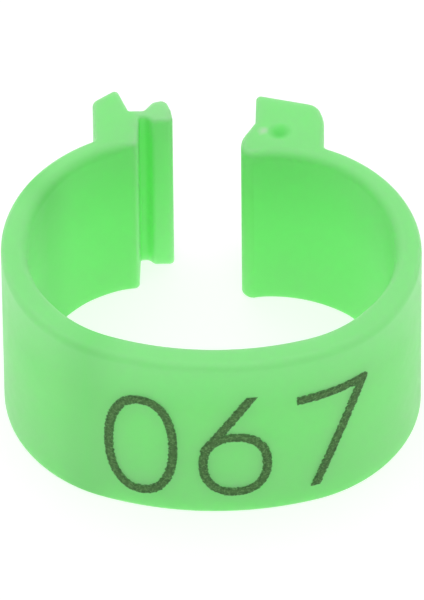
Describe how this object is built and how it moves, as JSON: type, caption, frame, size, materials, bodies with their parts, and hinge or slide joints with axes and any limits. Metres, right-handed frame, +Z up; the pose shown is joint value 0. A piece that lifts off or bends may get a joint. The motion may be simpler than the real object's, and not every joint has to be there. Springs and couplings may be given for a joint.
{
  "type": "leg band",
  "caption": "Springy C-shaped numbered leg band for poultry and small livestock, with a tongue-and-catch closure.",
  "frame": {"origin": "middle of the leg opening at the lower rim, midway between the centres of the two arms' arcs", "axes": "+Z up along the band's axis, -Y towards the numbered front, +Y towards the closure, +X towards the tongue arm"},
  "size_m": [0.0245, 0.0222, 0.0124],
  "materials": {
    "band_plastic": "translucent bright green, satin gloss as moulded",
    "dark_mark": "matt dark olive burnt mark"
  },
  "bodies": {
    "front": {"number_panel": "band_plastic", "digit_0": "dark_mark", "digit_6": "dark_mark", "digit_7": "dark_mark"},
    "catch_arm": {"catch_arm_wall": "band_plastic", "catch_block": "band_plastic", "catch_grip_lug": "band_plastic"},
    "catch": {"catch_strip": "band_plastic"},
    "tongue_arm": {"tongue_arm_wall": "band_plastic", "stop_block": "band_plastic", "tongue_nose": "band_plastic"}
  },
  "joints": [
    {"name": "catch_arm_flex", "type": "hinge", "parent": "front", "child": "catch_arm", "pos_m": [-0.00975, -0.00498, 0.0062], "axis": [0, 0, -1], "range_deg": [-18, 8.6], "stiffness_Nm_per_rad": 0.22},
    {"name": "tongue_arm_flex", "type": "hinge", "parent": "front", "child": "tongue_arm", "pos_m": [0.00975, -0.00498, 0.0062], "axis": [0, 0, 1], "range_deg": [-18, 8.6], "stiffness_Nm_per_rad": 0.22},
    {"name": "catch_strip_flex", "type": "hinge", "parent": "catch_arm", "child": "catch", "pos_m": [-0.00462, 0.0108, 0.0062], "axis": [0, 0, 1], "range_deg": [0, 6], "stiffness_Nm_per_rad": 0.1}
  ]
}
